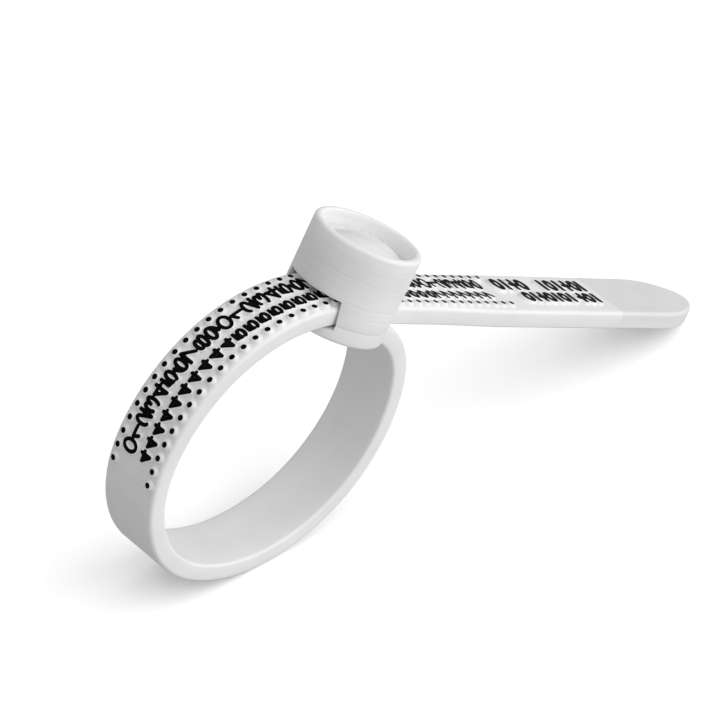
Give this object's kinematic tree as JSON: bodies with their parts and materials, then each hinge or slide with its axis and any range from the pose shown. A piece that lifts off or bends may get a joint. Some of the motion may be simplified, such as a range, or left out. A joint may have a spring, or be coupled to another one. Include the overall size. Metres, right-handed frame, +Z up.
{
  "type": "ring sizing band",
  "caption": "Adjustable sizing band: a numbered flexible strap loops through the slot of a round head that holds a small magnifier lens.",
  "frame": {"origin": "centre of the bounding box at ground level, under the band as it lies on its loop and the tail's tip", "axes": "+X from the loop towards the tail's tip, +Y across the strap, +Z up"},
  "size_m": [0.0566, 0.008, 0.0256],
  "materials": {
    "strap_plastic": "semi-translucent white moulded plastic, satin",
    "head_plastic": "white moulded plastic, satin, with fine level tool lines",
    "lens": "clear polished acrylic",
    "marking_ink": "black hot-stamped foil on the raised marks"
  },
  "bodies": {
    "head": {"head_housing": "head_plastic", "magnifier_lens": "lens", "strap_end_pad": "strap_plastic"},
    "tail": {"strap_tail": "strap_plastic"},
    "link_01": {"strap_link_01": "strap_plastic"},
    "link_02": {"strap_link_02": "strap_plastic"},
    "link_03": {"strap_link_03": "strap_plastic"},
    "link_04": {"strap_link_04": "strap_plastic"},
    "link_05": {"strap_link_05": "strap_plastic"},
    "link_06": {"strap_link_06": "strap_plastic"},
    "link_07": {"strap_link_07": "strap_plastic"},
    "link_08": {"strap_link_08": "strap_plastic"},
    "link_09": {"strap_link_09": "strap_plastic"},
    "link_10": {"strap_link_10": "strap_plastic"},
    "link_11": {"strap_link_11": "strap_plastic"}
  },
  "joints": [
    {"name": "strap_slide", "type": "slide", "parent": "head", "child": "tail", "axis": [0.891, 0, -0.4539], "range_m": [-0.005, 0.001]},
    {"name": "strap_bend_01", "type": "hinge", "parent": "tail", "child": "link_01", "pos_m": [-0.0108, 0, 0.01992], "axis": [0, 1, 0], "range_deg": [-7.22, 1.45]},
    {"name": "strap_bend_02", "type": "hinge", "parent": "link_01", "child": "link_02", "pos_m": [-0.01464, 0, 0.02101], "axis": [0, 1, 0], "range_deg": [-9.61, 1.93]},
    {"name": "strap_bend_03", "type": "hinge", "parent": "link_02", "child": "link_03", "pos_m": [-0.02053, 0, 0.02033], "axis": [0, 1, 0], "range_deg": [-1.41, 7.02]},
    {"name": "strap_bend_04", "type": "hinge", "parent": "link_03", "child": "link_04", "pos_m": [-0.0253, 0, 0.01679], "axis": [0, 1, 0], "range_deg": [-1.49, 7.42]},
    {"name": "strap_bend_05", "type": "hinge", "parent": "link_04", "child": "link_05", "pos_m": [-0.02757, 0, 0.01134], "axis": [0, 1, 0], "range_deg": [-3.4, 0.69]},
    {"name": "strap_bend_06", "type": "hinge", "parent": "link_05", "child": "link_06", "pos_m": [-0.02619, 0, 0.0056], "axis": [0, 1, 0], "range_deg": [-6.35, 1.28]},
    {"name": "strap_bend_07", "type": "hinge", "parent": "link_06", "child": "link_07", "pos_m": [-0.02193, 0, 0.00194], "axis": [0, 1, 0], "range_deg": [-0.127, 0.594]},
    {"name": "strap_bend_08", "type": "hinge", "parent": "link_07", "child": "link_08", "pos_m": [-0.0166, 0, 0.00076], "axis": [0, 1, 0], "range_deg": [-2.46, 12.24]},
    {"name": "strap_bend_09", "type": "hinge", "parent": "link_08", "child": "link_09", "pos_m": [-0.0113, 0, 0.00203], "axis": [0, 1, 0], "range_deg": [-2.41, 12.01]},
    {"name": "strap_bend_10", "type": "hinge", "parent": "link_09", "child": "link_10", "pos_m": [-0.00723, 0, 0.00564], "axis": [0, 1, 0], "range_deg": [-0.27, 0.062]},
    {"name": "strap_bend_11", "type": "hinge", "parent": "link_10", "child": "link_11", "pos_m": [-0.00538, 0, 0.01076], "axis": [0, 1, 0], "range_deg": [-10.83, 2.17]}
  ],
  "couplings": [
    {"joint": "strap_bend_01", "follows": "strap_slide", "rad_per_m": 24.682},
    {"joint": "strap_bend_02", "follows": "strap_slide", "rad_per_m": 32.848},
    {"joint": "strap_bend_03", "follows": "strap_slide", "rad_per_m": -23.993},
    {"joint": "strap_bend_04", "follows": "strap_slide", "rad_per_m": -25.373},
    {"joint": "strap_bend_05", "follows": "strap_slide", "rad_per_m": 11.609},
    {"joint": "strap_bend_06", "follows": "strap_slide", "rad_per_m": 21.692},
    {"joint": "strap_bend_07", "follows": "strap_slide", "rad_per_m": -1.9976},
    {"joint": "strap_bend_08", "follows": "strap_slide", "rad_per_m": -41.861},
    {"joint": "strap_bend_09", "follows": "strap_slide", "rad_per_m": -41.078},
    {"joint": "strap_bend_10", "follows": "strap_slide", "rad_per_m": 0.88993},
    {"joint": "strap_bend_11", "follows": "strap_slide", "rad_per_m": 37.02}
  ]
}
